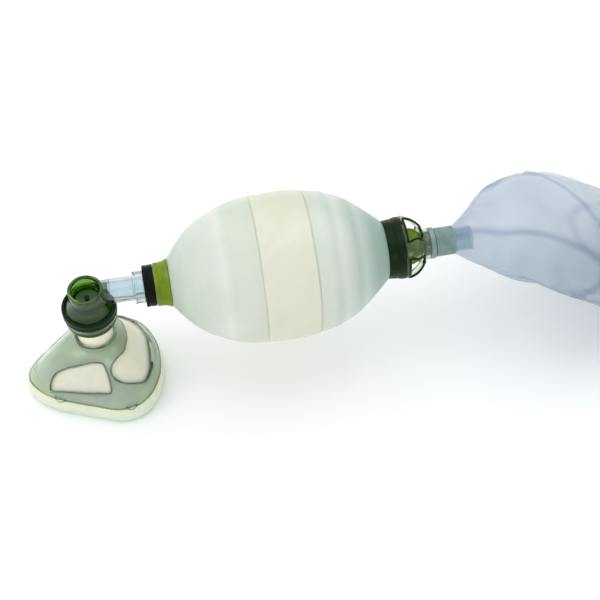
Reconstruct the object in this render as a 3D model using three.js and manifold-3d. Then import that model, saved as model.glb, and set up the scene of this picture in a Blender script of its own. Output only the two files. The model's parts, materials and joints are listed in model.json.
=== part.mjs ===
// A bag valve mask for an adult patient, in millimetres with +Z up.
// X runs along the squeeze bag, from the face mask at -X to the reservoir bag at +X.
// The mask's rim and the underside of the reservoir bag rest on the plane z = 0.
import * as THREE from 'three';
import { mergeVertices } from 'three/addons/utils/BufferGeometryUtils.js';
import Module from 'manifold-3d';

const wasm = await Module();
wasm.setup();

// ---- Driving dimensions -------------------------------------------------------------------
const GAP = 0.4;                  // clearance between pieces that touch on the real object
const AXIS_Z = 124;               // height of the squeeze bag's axis over the table
const PORT_RISE = 18;             // top of the exhalation port over the bag's axis
const VALVE_OFFSET = 7;           // the valve's axis stands this far in front of the bag's axis
const VALVE_TO_BAG = 73;          // from the valve's axis to the shoulder of the squeeze bag
const PORT_TOP = AXIS_Z + PORT_RISE;

const SIX_TURNS = [0, 60, 120, 180, 240, 300];
const FOUR_TURNS = [0, 90, 180, 270];
const ROUND = 24;                 // sides of a turned piece
const FINE = 32;                  // sides of the mask and its cover

// Inlet tube and swivel neck, as distances from the valve's axis.
const TUBE = { radius: 11, bore: 8, start: 9, flange: 41.2, boss: 42.8, shoulder: 49.9, end: 66 };
const TUBE_SLEEVE_BORE = 9.3;
const TUBE_SLEEVE_END = 20.3;
const HOUSING_SPIGOT_END = 19;    // the housing's short spigot inside the tube
const TUBE_FLANGE_RADIUS = 14.6;
const TUBE_BOSS_RADIUS = 14.2;
const TUBE_SPIGOT_RADIUS = 9.6;
const ORING = { centre: 57.2, groove: 1.2, floor: 8.3, radius: 9.2, section: 0.55 };

// Squeeze bag, as distances from its front shoulder. Pairs are position and radius.
const BAG_WALL = 2.6;
const BAG_OUTLINE = [
  [0.4, 22], [10.6, 34.8], [24, 47], [42, 56.5], [62, 63.3], [93, 65.5],
  [129, 63], [150, 57], [165, 49], [178, 39], [187, 31], [191.5, 27]
];
const BAG_FRONT_NECK = { start: -10, outer: 15.7, inner: 13.6 };
const BAG_REAR_NECK = { end: 203.5, outer: 23.7, inner: 21.2 };

// The part of the bag's near wall that the hand pushes in: an ellipse seen from the side.
const PANEL = { centre: 93, halfLength: 42, halfHeight: 34, depth: 40 };

// Intake end and reservoir, as distances from the bag's front shoulder.
const INTAKE_RING = { start: 192.3, end: 208, bore: 24.3 };
const CAGE = { base: 208.4, end: 232.9, neckBore: 11, neckRadius: 14 };
const CONNECTOR = { start: 226, flange: 233.3, sleeve: 238, end: 245.5, bore: 8.2 };
const SLEEVE = { start: 238.4, end: 256, bore: 11.3, radius: 12.6, rib: 0.5, ribs: 5 };
const NECK_TUBE = { start: 245.9, end: 272, radius: 10.9, bore: 9.2 };
const NIPPLE = { position: 230, root: 2.4, bore: 1.2, tip: 30 };

// Valve housings, as heights below the top of the exhalation port.
const PORT_RADIUS = 15.2;         // 30 mm male cone
const PORT_BORE = 12.3;
const CHAMBER_RADIUS = 21;
const CONE_END = -66;             // end of the 22 mm male patient connector
const CONE_RADIUS = 11;
const PATIENT_BORE = 7.6;         // 15 mm female socket

// Face mask. Pairs are an angle from the chin in degrees and the rim's distance from the axis.
const MASK_OUTLINE = [
  [0, 55], [25, 56.5], [52, 59], [64, 58], [77, 54.5], [103, 46.5], [131, 48.8], [152, 58.5],
  [164, 65.5], [175, 71.5], [180, 72.3]
];
const MASK_CORE = 20;             // inside this radius the mask is round
const MASK_RIM = 55;              // this radius is stretched to the outline
const MASK_TOP = PORT_TOP - 46.5;
const DOME = { start: 20, end: 51, low: 20, high: 68, bend: 1.35 };
const MASK_NECK = { outer: 15.8, inner: 11.6 };
const MASK_WALL = 4;              // measured straight down
const COVER_RING = { outer: 19.2, inner: 16.2, top: 77 };
const COVER_LIFT = { under: 0.8, over: 3.6 };   // heights of its two faces over the dome
const CLIP = { radius: 5.5, bottom: 20, top: 22.2, reach: 0.9, angles: [66, -66, 146, -146] };
const SIDE_WINDOW = [
  [-50, 20], [-44, 16], [-34, 17.5], [-17, 22.4], [-2, 25.5], [4, 29], [5.5, 41.5], [-8, 38.5],
  [-22, 34], [-46, 24.5]
];
const CHIN_WINDOW_HALF = [
  [26.5, 0], [26, 6.5], [22.5, 16.5], [15, 23.7], [9.5, 29.5], [9.6, 34.6], [16.6, 37.6],
  [25, 37.2], [34.3, 33.8], [39.6, 27.2], [43.4, 16], [44.4, 0]
];

// Reservoir bag, as distances from its neck. Pairs are position and half width.
const RESERVOIR = { start: 256.4, length: 324, wall: 1.1, depthRatio: 0.5, restFrom: 255 };
const RESERVOIR_OUTLINE = [
  [0, 12.5], [18, 28], [39, 46], [72, 63], [110, 71.5], [170, 76], [250, 75], [300, 69.5],
  [318, 61]
];

// ---- Materials ----------------------------------------------------------------------------
function finish(color, roughness, opacity = 1) {
  const look = { color, roughness, metalness: 0, opacity, transparent: opacity < 1 };
  return new THREE.MeshStandardMaterial(look);
}

const finishes = {
  milkySilicone: () => finish(0xdde4d8, 0.45),
  creamSilicone: () => finish(0xe6dfcc, 0.5),
  valveSilicone: () => finish(0xd9d4b8, 0.5),
  smokedGreen: () => finish(0x17381a, 0.15, 0.85),
  paleGreen: () => finish(0x4f6f55, 0.15, 0.7),
  clearBlue: () => finish(0xbad1d5, 0.1, 0.5),
  clearGrey: () => finish(0x92a793, 0.15, 0.5),
  limeGreen: () => finish(0x93b43c, 0.4),
  nearBlack: () => finish(0x11171f, 0.4),
  greyGreen: () => finish(0x6b8984, 0.35),
  film: () => finish(0xc4cfe0, 0.2, 0.4)
};

// ---- Helpers ------------------------------------------------------------------------------
// Joins a geometry's shared corners and drops the empty triangles at its poles.
function weld(geometry) {
  const bare = new THREE.BufferGeometry();
  bare.setAttribute('position', geometry.attributes.position.clone());
  bare.setIndex(geometry.index ? geometry.index.clone() : null);
  const merged = mergeVertices(bare, 1e-4);
  const index = merged.index.array;
  const kept = [];
  for (let i = 0; i < index.length; i += 3) {
    const [a, b, c] = [index[i], index[i + 1], index[i + 2]];
    if (a !== b && b !== c && c !== a) {
      kept.push(a, b, c);
    }
  }
  merged.setIndex(kept);
  return merged;
}

function toSolid(geometry) {
  const welded = weld(geometry);
  return new wasm.Manifold(new wasm.Mesh({
    numProp: 3,
    vertProperties: new Float32Array(welded.attributes.position.array),
    triVerts: new Uint32Array(welded.index.array)
  }));
}

function toGeometry(solid) {
  const mesh = solid.getMesh();
  const geometry = new THREE.BufferGeometry();
  geometry.setAttribute('position', new THREE.BufferAttribute(mesh.vertProperties, 3));
  geometry.setIndex(Array.from(mesh.triVerts));
  return geometry;
}

function cut(geometry, ...tools) {
  const left = tools.reduce((solid, tool) => solid.subtract(toSolid(tool)), toSolid(geometry));
  return toGeometry(left);
}

function join(geometry, ...others) {
  const whole = others.reduce((solid, other) => solid.add(toSolid(other)), toSolid(geometry));
  return toGeometry(whole);
}

function common(geometry, other) {
  return toGeometry(toSolid(geometry).intersect(toSolid(other)));
}

// Turns a closed profile of [radius, height] pairs about the upright axis. The profile runs up
// the outside and down the inside.
function turnedUpright(profile, sides = ROUND) {
  const closed = [...profile, profile[0]].map(([r, h]) => new THREE.Vector2(r, h));
  return weld(new THREE.LatheGeometry(closed, sides)).rotateX(Math.PI / 2);
}

// The same about the X axis, with [radius, position along X] pairs.
function turnedAlong(profile, sides = ROUND) {
  const closed = [...profile, profile[0]].map(([r, x]) => new THREE.Vector2(r, x));
  return weld(new THREE.LatheGeometry(closed, sides)).rotateZ(-Math.PI / 2);
}

function ringAlong(outer, inner, start, end, sides = ROUND) {
  return turnedAlong([[outer, start], [outer, end], [inner, end], [inner, start]], sides);
}

function rodAlong(radius, start, end, sides = ROUND) {
  const rod = new THREE.CylinderGeometry(radius, radius, end - start, sides);
  return rod.rotateZ(-Math.PI / 2).translate((start + end) / 2, 0, 0);
}

function rodUpright(radius, bottom, top, sides = ROUND) {
  const rod = new THREE.CylinderGeometry(radius, radius, top - bottom, sides);
  return rod.rotateX(Math.PI / 2).translate(0, 0, (bottom + top) / 2);
}

// A smooth function through [position, value] pairs.
function through(pairs) {
  const positions = pairs.map(([position]) => position);
  const values = pairs.map(([, value]) => value);
  const curve = new THREE.CubicInterpolant(positions, values, 1);
  return (position) => curve.evaluate(position)[0];
}

function spread(start, end, count) {
  return Array.from({ length: count }, (_, i) => start + (end - start) * i / (count - 1));
}

// Moves each point of an outline inward by the wall's thickness. The outline runs up the
// outside, and the result is in the same order.
function inset(outline, wall) {
  return outline.map((point, i) => {
    const before = outline[Math.max(i - 1, 0)];
    const after = outline[Math.min(i + 1, outline.length - 1)];
    const run = new THREE.Vector2(after[0] - before[0], after[1] - before[1]).normalize();
    return [point[0] - wall * run.y, point[1] + wall * run.x];
  });
}

// Moves every corner of a geometry by a function of its place.
function bend(geometry, place) {
  const positions = geometry.attributes.position;
  const point = new THREE.Vector3();
  for (let i = 0; i < positions.count; i += 1) {
    place(point.fromBufferAttribute(positions, i));
    positions.setXYZ(i, point.x, point.y, point.z);
  }
  return geometry;
}

const root = new THREE.Group();
const bagAxis = new THREE.Group();
const bagEnd = new THREE.Group();
const valveAxis = new THREE.Group();
const maskAxis = new THREE.Group();
bagAxis.position.set(0, 0, AXIS_Z);
bagEnd.position.set(VALVE_TO_BAG, 0, AXIS_Z);
valveAxis.position.set(0, -VALVE_OFFSET, PORT_TOP);
maskAxis.position.set(0, -VALVE_OFFSET, 0);
root.add(bagAxis, bagEnd, valveAxis, maskAxis);

function addPiece(parent, name, geometry, material) {
  const mesh = new THREE.Mesh(geometry, material);
  mesh.name = name;
  parent.add(mesh);
}

// ---- Face mask ----------------------------------------------------------------------------
const rimDistance = through(MASK_OUTLINE);

// Stretches a round shape outside the core to the mask's rounded triangle.
function toMaskOutline(point) {
  const radius = Math.hypot(point.x, point.y);
  if (radius <= MASK_CORE) {
    return;
  }
  const angle = Math.abs(THREE.MathUtils.radToDeg(Math.atan2(point.y, point.x)));
  const stretch = (rimDistance(angle) - MASK_CORE) / (MASK_RIM - MASK_CORE);
  const scale = (MASK_CORE + (radius - MASK_CORE) * stretch) / radius;
  point.x *= scale;
  point.y *= scale;
}

function domeHeight(radius) {
  const share = (radius - DOME.start) / (DOME.end - DOME.start);
  return DOME.low + (DOME.high - DOME.low) * (1 - share ** DOME.bend);
}

function domeProfile(radii, lift) {
  return radii.map((radius) => [radius, domeHeight(radius) + lift]);
}

// The same points on the other side of the mask's middle line, in the opposite order.
function mirrored(points) {
  return points.map(([x, y]) => [x, -y]).reverse();
}

// Closed curve through a few points in plan, as a prism that reaches through the cover.
function planPrism(points) {
  const corners = points.map(([x, y]) => new THREE.Vector3(x, y, 0));
  const curve = new THREE.CatmullRomCurve3(corners, true, 'centripetal');
  const outline = new THREE.Shape(curve.getPoints(24).slice(0, -1));
  return new THREE.ExtrudeGeometry(outline, { depth: MASK_TOP, bevelEnabled: false });
}

function maskBody() {
  const radii = spread(DOME.end, DOME.start, 5);
  const innerRadii = spread(DOME.start, DOME.end - 5.5, 4);
  const profile = [
    [44, 0], [51.5, 0], [54, 1.5], [55, 5], [55, 10], [53.8, 15],
    ...domeProfile(radii, 0),
    [MASK_NECK.outer, DOME.high + 2.4], [MASK_NECK.outer, MASK_TOP],
    [MASK_NECK.inner, MASK_TOP], [MASK_NECK.inner, DOME.high],
    ...domeProfile(innerRadii, -MASK_WALL),
    [46, 18], [45.5, 10], [43.5, 5], [42.7, 2]
  ];
  return bend(turnedUpright(profile, FINE), toMaskOutline);
}

// The stiff cover: a ring round the mask's neck, three spokes, a rim and four clip tabs.
function maskCover() {
  const profile = [
    [53, 20], [53, 22],
    ...domeProfile(spread(DOME.end - 2, DOME.start, 5), COVER_LIFT.over),
    [COVER_RING.outer, DOME.high + 5], [COVER_RING.outer, COVER_RING.top],
    [COVER_RING.inner, COVER_RING.top], [COVER_RING.inner, DOME.high + 3.2],
    ...domeProfile(spread(DOME.start, DOME.end, 5), COVER_LIFT.under)
  ];
  const shell = bend(turnedUpright(profile, FINE), toMaskOutline);
  const chinWindow = [...mirrored(CHIN_WINDOW_HALF.slice(1, -1)), ...CHIN_WINDOW_HALF];
  const windows = [SIDE_WINDOW, mirrored(SIDE_WINDOW), chinWindow].map(planPrism);
  return join(cut(shell, ...windows), ...clips());
}

// Round tabs on the rim that the head strap's ring hooks on, trimmed to the cover's underside.
function clips() {
  const underCover = bend(turnedUpright([
    [0, 5], [51.5, 5], ...domeProfile(spread(DOME.end, DOME.start, 5), COVER_LIFT.under),
    [0, DOME.high + 3]
  ], FINE), toMaskOutline);
  return CLIP.angles.map((degrees) => {
    const angle = THREE.MathUtils.degToRad(degrees);
    const reach = rimDistance(Math.abs(degrees)) * CLIP.reach;
    const clip = rodUpright(CLIP.radius, CLIP.bottom, CLIP.top, 12);
    return cut(clip.translate(reach * Math.cos(angle), reach * Math.sin(angle), 0), underCover);
  });
}

addPiece(maskAxis, 'mask_body', maskBody(), finishes.creamSilicone());
addPiece(maskAxis, 'mask_cover', maskCover(), finishes.clearGrey());

// ---- Patient valve ------------------------------------------------------------------------
// The inlet spigot and its passages run along X, behind the valve's axis.
function behindValve(geometry, drop = PORT_RISE, offset = VALVE_OFFSET) {
  return geometry.translate(0, offset, -drop);
}

function upperHousing() {
  const cavity = [
    [18.5, -24.5], [10.6, -21], [10.6, -18.6], [PORT_BORE, -18.6], [PORT_BORE, -0.8],
    [13.2, 0]
  ];
  const shell = turnedUpright([
    [18.5, -34], [CHAMBER_RADIUS, -34], [CHAMBER_RADIUS, -23.5], [19.5, -22], [15.9, -21],
    [15.8, -19], [PORT_RADIUS, -0.8], [14.6, 0], ...cavity.toReversed()
  ]);
  const hollow = turnedUpright([[0, -35], [18.5, -35], ...cavity, [13.2, 1], [0, 1]]);
  const spigot = behindValve(rodAlong(TUBE_SLEEVE_BORE - 0.3, 10, HOUSING_SPIGOT_END));
  const passage = behindValve(rodAlong(7.2, 13.4, HOUSING_SPIGOT_END + 1));
  const throat = behindValve(rodAlong(4.5, 13.4, 17), 24.5, 5);
  return cut(join(shell, cut(spigot, hollow)), passage, throat);
}

function lowerHousing() {
  return turnedUpright([
    [CONE_RADIUS - 0.15, CONE_END], [CONE_RADIUS + 0.2, -45.2], [12.5, -44.6], [19.5, -44.4],
    [21.8, -43.2], [23, -41], [23, -32.6], [21.4, -32.6], [21.4, -35.9], [19, -35.9],
    [19, -41.6], [8, -43], [PATIENT_BORE, -44.5], [PATIENT_BORE, CONE_END]
  ]);
}

function lockRing() {
  const band = [[21.4, -32.2], [23.6, -32.2], [24.2, -31.4], [24.2, -24], [23.4, -23], [21.4, -23]];
  return cut(turnedUpright(band), behindValve(rodAlong(TUBE.radius + GAP, 5, 40)));
}

function exhalationGrille() {
  const plate = turnedUpright([
    [0, -18.2], [12, -18.2], [12, -16.5], [1.4, -16.5], [1.4, -12.4], [2.4, -12.4],
    [2.4, -11.6], [0, -11.6]
  ]);
  const holes = SIX_TURNS.map((degrees) => {
    const angle = THREE.MathUtils.degToRad(degrees);
    return rodUpright(2.6, -19, -16, 12).translate(7.4 * Math.cos(angle), 7.4 * Math.sin(angle), 0);
  });
  return cut(plate, ...holes);
}

function lipValve() {
  const diaphragm = turnedUpright([[0, -36.4], [11, -36.4], [12.5, -35.6], [20.9, -35.6],
    [20.9, -34.3], [0, -34.3]]);
  const bill = new THREE.BoxGeometry(13, 3.2, 5).translate(0, 0, -38.4);
  const slit = new THREE.BoxGeometry(10.5, 0.6, 10).translate(0, 0, -38);
  return cut(join(diaphragm, bill), slit);
}

// Clear tube that fits over the housing's spigot, with a saddle cut where it meets the housing.
function inletTube() {
  const tube = turnedAlong([
    [TUBE.radius, TUBE.start], [TUBE.radius, TUBE.flange], [TUBE_FLANGE_RADIUS, TUBE.flange],
    [TUBE_FLANGE_RADIUS, TUBE.boss], [TUBE_BOSS_RADIUS, TUBE.boss],
    [TUBE_BOSS_RADIUS, TUBE.shoulder], [TUBE_SPIGOT_RADIUS, TUBE.shoulder],
    [TUBE_SPIGOT_RADIUS, ORING.centre - ORING.groove], [ORING.floor, ORING.centre - ORING.groove],
    [ORING.floor, ORING.centre + ORING.groove], [TUBE_SPIGOT_RADIUS, ORING.centre + ORING.groove],
    [TUBE_SPIGOT_RADIUS, TUBE.end], [TUBE.bore, TUBE.end], [TUBE.bore, TUBE_SLEEVE_END],
    [TUBE_SLEEVE_BORE, TUBE_SLEEVE_END], [TUBE_SLEEVE_BORE, TUBE.start]
  ]);
  const housing = turnedUpright([
    [0, -36], [CHAMBER_RADIUS + GAP, -36], [CHAMBER_RADIUS + GAP, -23.3], [19.7, -21.6],
    [16.3, -20.6], [16.2, -19], [15.6, 2], [0, 2]
  ]);
  return cut(tube, housing.translate(0, -VALVE_OFFSET, PORT_RISE));
}

addPiece(valveAxis, 'valve_upper_housing', upperHousing(), finishes.smokedGreen());
addPiece(valveAxis, 'valve_lower_housing', lowerHousing(), finishes.paleGreen());
addPiece(valveAxis, 'valve_lock_ring', lockRing(), finishes.smokedGreen());
addPiece(valveAxis, 'exhalation_grille', exhalationGrille(), finishes.smokedGreen());
addPiece(valveAxis, 'exhalation_disc', turnedUpright([
  [10.8, -16.2], [10.8, -15.2], [1.8, -15.2], [1.8, -16.2]
]), finishes.valveSilicone());
addPiece(valveAxis, 'lip_valve', lipValve(), finishes.valveSilicone());
addPiece(bagAxis, 'inlet_tube', inletTube(), finishes.clearBlue());
addPiece(
  bagAxis,
  'inlet_oring',
  new THREE.TorusGeometry(ORING.radius, ORING.section, 6, 16).rotateY(Math.PI / 2)
    .translate(ORING.centre, 0, 0),
  finishes.nearBlack()
);

// ---- Squeeze bag and its front neck -------------------------------------------------------
function neckInsert() {
  return turnedAlong([
    [15.7, -22.7], [15.7, -10.4], [13.2, -10.4], [13.2, 6], [10, 6], [10, -22.7]
  ]);
}

function neckCollar() {
  return turnedAlong([[19.2, -13], [19.4, -5], [21.6, 0], [16.1, 0], [16.1, -13]]);
}

function siliconeBag() {
  const radius = through(BAG_OUTLINE);
  const [first] = BAG_OUTLINE[0];
  const [last] = BAG_OUTLINE[BAG_OUTLINE.length - 1];
  const positions = [first, 4, 10, ...spread(20, 170, 8), 181, last];
  const wallOutline = positions.map((position) => [radius(position), position]);
  const inner = inset(wallOutline, BAG_WALL).slice(1, -1);
  const front = BAG_FRONT_NECK;
  const rear = BAG_REAR_NECK;
  return turnedAlong([
    [front.outer, front.start], [front.outer, first], ...wallOutline,
    [rear.outer, last], [rear.outer, rear.end], [rear.inner, rear.end],
    [rear.inner, last - BAG_WALL], ...inner.toReversed(), [front.inner, first + BAG_WALL],
    [front.inner, front.start]
  ], 28);
}

// A prism along Y that marks out the pushed panel, from outside the near wall to the axis.
function panelPrism(halfLength, halfHeight) {
  const outline = new THREE.Shape();
  outline.absellipse(PANEL.centre, 0, halfLength, halfHeight, 0, 2 * Math.PI);
  const prism = new THREE.ExtrudeGeometry(outline, {
    depth: 60, bevelEnabled: false, curveSegments: 12
  });
  return prism.rotateX(Math.PI / 2).translate(0, -20, 0);
}

const wholeBag = siliconeBag();
const panelHole = panelPrism(PANEL.halfLength + GAP, PANEL.halfHeight + GAP);
const panelShape = panelPrism(PANEL.halfLength, PANEL.halfHeight);
addPiece(bagEnd, 'squeeze_bag', cut(wholeBag, panelHole), finishes.milkySilicone());
addPiece(bagEnd, 'squeeze_panel', common(wholeBag, panelShape), finishes.milkySilicone());
addPiece(bagEnd, 'neck_insert', neckInsert(), finishes.clearGrey());
addPiece(bagEnd, 'neck_ring', ringAlong(18.5, 16.1, -22.7, -13.4), finishes.nearBlack());
addPiece(bagEnd, 'neck_collar', neckCollar(), finishes.limeGreen());

// ---- Intake end ---------------------------------------------------------------------------
function intakeRing() {
  const { start, end, bore } = INTAKE_RING;
  return turnedAlong([[25.7, start], [26.2, start + 1.5], [28, end - 3], [28, end], [bore, end],
    [bore, start]]);
}

// Disc with ports and a guide pin, in a short tube that sits in the bag's rear neck.
function intakeSeat() {
  const seat = turnedAlong([
    [0, 190.9], [2.6, 190.9], [2.6, 191.8], [1.5, 191.8], [1.5, 195.8], [20.9, 195.8],
    [20.9, 203.9], [24, 203.9], [24, 206], [19.2, 206], [19.2, 198.2], [0, 198.2]
  ]);
  const ports = SIX_TURNS.map((degrees) => {
    return rodAlong(3, 195, 199, 12).translate(0, 0, 9).rotateX(THREE.MathUtils.degToRad(degrees));
  });
  return cut(seat, ...ports);
}

function cageWindow(degrees) {
  const outline = new THREE.Shape([
    new THREE.Vector2(212.5, -13), new THREE.Vector2(223, -8.5),
    new THREE.Vector2(223, 8.5), new THREE.Vector2(212.5, 13)
  ]);
  const prism = new THREE.ExtrudeGeometry(outline, { depth: 18, bevelEnabled: false });
  return prism.translate(0, 0, 14).rotateX(THREE.MathUtils.degToRad(degrees));
}

function reservoirCage() {
  const shell = turnedAlong([
    [27.7, CAGE.base], [27.8, 211], [26.8, 214.5], [24.6, 218.5], [21.3, 222], [17.5, 225],
    [CAGE.neckRadius, 227.2], [CAGE.neckRadius, CAGE.end], [CAGE.neckBore, CAGE.end],
    [CAGE.neckBore, 226.6], [12.4, 225.2], [16, 222.6], [19.6, 219.6], [22.7, 216.4],
    [24.8, 213], [25.6, 210.9], [25.6, CAGE.base]
  ]);
  const nippleHole = rodUpright(NIPPLE.root + 0.35, -20, -5, 16).translate(NIPPLE.position, 0, 0);
  return cut(shell, nippleHole, ...FOUR_TURNS.map(cageWindow));
}

// Plate with two relief ports and a funnel that leads the reservoir's gas to the bag.
function valveCore() {
  const core = turnedAlong([
    [25.2, 209.2], [25.2, 211.2], [16.5, 211.2], [10.4, 225.4], [8.8, 225.4], [14.5, 211.2],
    [14.5, 209.2]
  ]);
  const upperPort = rodAlong(2.8, 208, 213, 16).translate(0, 0, 20.6);
  const lowerPort = rodAlong(2.8, 208, 213, 16).translate(0, 0, -20.6);
  return cut(core, upperPort, lowerPort);
}

function oxygenNipple() {
  const { root: radius, bore, tip, position } = NIPPLE;
  const barb = turnedUpright([
    [bore, -tip], [2, -tip], [3.1, -tip + 4], [2.4, -tip + 4.4], [2.4, -18], [3.3, -17.6],
    [3.3, -15.8], [radius, -15.4], [radius, -11.6], [bore, -11.6]
  ], 16);
  return barb.translate(position, 0, 0);
}

addPiece(bagEnd, 'intake_ring', intakeRing(), finishes.smokedGreen());
addPiece(bagEnd, 'intake_seat', intakeSeat(), finishes.limeGreen());
addPiece(bagEnd, 'intake_disc', ringAlong(15, 1.9, 194.4, 195.4), finishes.valveSilicone());
addPiece(bagEnd, 'reservoir_cage', reservoirCage(), finishes.smokedGreen());
addPiece(bagEnd, 'reservoir_valve_core', valveCore(), finishes.limeGreen());
addPiece(
  bagEnd,
  'air_inlet_disc',
  rodAlong(3.7, 207.9, 208.8, 20).translate(0, 0, 20.6),
  finishes.valveSilicone()
);
addPiece(
  bagEnd,
  'blow_off_disc',
  rodAlong(3.7, 211.6, 212.5, 20).translate(0, 0, -20.6),
  finishes.valveSilicone()
);
addPiece(bagEnd, 'oxygen_nipple', oxygenNipple(), finishes.smokedGreen());

// ---- Reservoir connector, sleeve and bag --------------------------------------------------
function reservoirConnector() {
  const { start, flange, sleeve, end, bore } = CONNECTOR;
  return turnedAlong([
    [10.6, start], [10.6, flange], [14, flange], [14, sleeve], [10.9, sleeve], [10.9, end],
    [bore, end], [bore, start]
  ]);
}

function ribbedSleeve() {
  const { start, end, bore, radius, rib, ribs } = SLEEVE;
  const pitch = (end - start) / ribs;
  const outline = [];
  for (let i = 0; i < ribs; i += 1) {
    const x = start + i * pitch;
    outline.push([radius, x], [radius + rib, x + pitch * 0.3], [radius + rib, x + pitch * 0.7]);
  }
  return turnedAlong([...outline, [radius, end], [bore, end], [bore, start]]);
}

const reservoirWidth = through(RESERVOIR_OUTLINE);

// Share of the bag's width that its thickness has: round at the neck, flat at the far seam.
function reservoirFlatness(position) {
  const { length, depthRatio, restFrom } = RESERVOIR;
  const opening = THREE.MathUtils.smoothstep(position, 0, 60);
  const toSeam = Math.max((position - restFrom) / (length + 0.5 - restFrom), 0);
  return (1 - (1 - depthRatio) * opening) * Math.sqrt(Math.max(1 - toSeam ** 2, 0.003));
}

// Height of the bag's middle: level with the neck at first, then down onto the table.
function reservoirMiddle(position) {
  const { restFrom } = RESERVOIR;
  const width = reservoirWidth(Math.min(position, RESERVOIR_OUTLINE.at(-1)[0]));
  const halfDepth = width * reservoirFlatness(position);
  const atRest = reservoirWidth(restFrom) * reservoirFlatness(restFrom);
  const sag = THREE.MathUtils.smoothstep(position, 50, restFrom);
  return position < restFrom ? AXIS_Z + (atRest - AXIS_Z) * sag : halfDepth;
}

function reservoirBag() {
  const { start, length, wall } = RESERVOIR;
  const positions = [0, 9, 20, 36, 56, 80, ...spread(110, 300, 8), 318];
  const outer = positions.map((position) => [reservoirWidth(position), position]);
  const inner = inset(outer, wall);
  inner[0] = [outer[0][0] - wall, 0];
  const seam = [[50, length - 1.5], [0, length]];
  const innerSeam = [[0, length - 3.6], [49, length - 4.4]];
  const flatBag = turnedAlong([...outer, ...seam, ...innerSeam, ...inner.toReversed()], 24);
  return bend(flatBag, (point) => {
    point.z = point.z * reservoirFlatness(point.x) + reservoirMiddle(point.x) - AXIS_Z;
    point.x += start;
  });
}

addPiece(bagEnd, 'reservoir_connector', reservoirConnector(), finishes.greyGreen());
addPiece(bagEnd, 'ribbed_sleeve', ribbedSleeve(), finishes.greyGreen());
addPiece(
  bagEnd,
  'reservoir_neck_tube',
  ringAlong(NECK_TUBE.radius, NECK_TUBE.bore, NECK_TUBE.start, NECK_TUBE.end),
  finishes.clearBlue()
);
addPiece(bagEnd, 'reservoir_bag', reservoirBag(), finishes.film());

// ---- Origin under the middle of the whole object ------------------------------------------
root.updateMatrixWorld(true);
const box = new THREE.Box3().setFromObject(root, true);
const middle = box.getCenter(new THREE.Vector3());
root.position.set(-middle.x, -middle.y, -box.min.z);

export default root;
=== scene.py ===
"""A bag valve mask: face mask, patient valve, silicone squeeze bag and reservoir bag.

Local sizes are in millimetres, measured from the places that the frame gives: the top of
the exhalation port, the front shoulder of the squeeze bag, and the table under the mask.
"""

import json
import math

import bmesh
import bpy
import numpy as np
from mathutils import Matrix, Vector


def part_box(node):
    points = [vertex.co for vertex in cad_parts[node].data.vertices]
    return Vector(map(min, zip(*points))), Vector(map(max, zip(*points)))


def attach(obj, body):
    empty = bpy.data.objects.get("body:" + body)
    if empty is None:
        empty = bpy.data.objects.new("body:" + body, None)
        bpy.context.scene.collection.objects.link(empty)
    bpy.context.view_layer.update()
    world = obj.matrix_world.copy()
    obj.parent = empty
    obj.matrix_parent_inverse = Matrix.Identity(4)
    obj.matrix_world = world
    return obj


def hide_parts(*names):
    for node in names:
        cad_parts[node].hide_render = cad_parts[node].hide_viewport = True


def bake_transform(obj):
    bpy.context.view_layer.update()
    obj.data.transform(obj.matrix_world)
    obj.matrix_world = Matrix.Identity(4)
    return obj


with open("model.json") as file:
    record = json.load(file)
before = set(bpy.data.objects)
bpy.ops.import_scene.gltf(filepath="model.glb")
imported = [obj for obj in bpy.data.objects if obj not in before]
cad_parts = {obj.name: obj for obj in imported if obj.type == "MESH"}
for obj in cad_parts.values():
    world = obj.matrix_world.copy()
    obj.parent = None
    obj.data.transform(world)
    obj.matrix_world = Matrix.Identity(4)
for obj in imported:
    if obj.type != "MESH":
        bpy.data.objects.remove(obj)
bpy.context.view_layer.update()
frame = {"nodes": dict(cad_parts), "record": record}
MM = 0.001
GAP = 0.4                       # clearance between pieces that touch on the real object
SIDES = 96                      # sides of a turned piece
BAG_SIDES = 160
MASK_SIDES = 180
CREASE = 38                     # an edge that bends by more degrees than this stays crisp


# ---- Places taken from the frame ----------------------------------------------------------
def middle(node):
    low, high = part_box(node)
    return (low + high) / 2


VALVE_AXIS = middle("valve_lower_housing")
BAG_AXIS = middle("neck_ring")
PORT = Vector((VALVE_AXIS.x, VALVE_AXIS.y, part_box("valve_upper_housing")[1].z))
SHOULDER = Vector((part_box("neck_collar")[1].x, BAG_AXIS.y, BAG_AXIS.z))
INLET = Vector((VALVE_AXIS.x, BAG_AXIS.y, BAG_AXIS.z))
TABLE = Vector((VALVE_AXIS.x, VALVE_AXIS.y, 0.0))
VALVE_OFFSET = (BAG_AXIS.y - VALVE_AXIS.y) / MM
PORT_RISE = (PORT.z - BAG_AXIS.z) / MM


# ---- Curves and profiles ------------------------------------------------------------------
def spread(start, end, count):
    return [start + (end - start) * i / (count - 1) for i in range(count)]


def smoothstep(value, low, high):
    share = np.clip((np.asarray(value, float) - low) / (high - low), 0.0, 1.0)
    return share * share * (3.0 - 2.0 * share)


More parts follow.
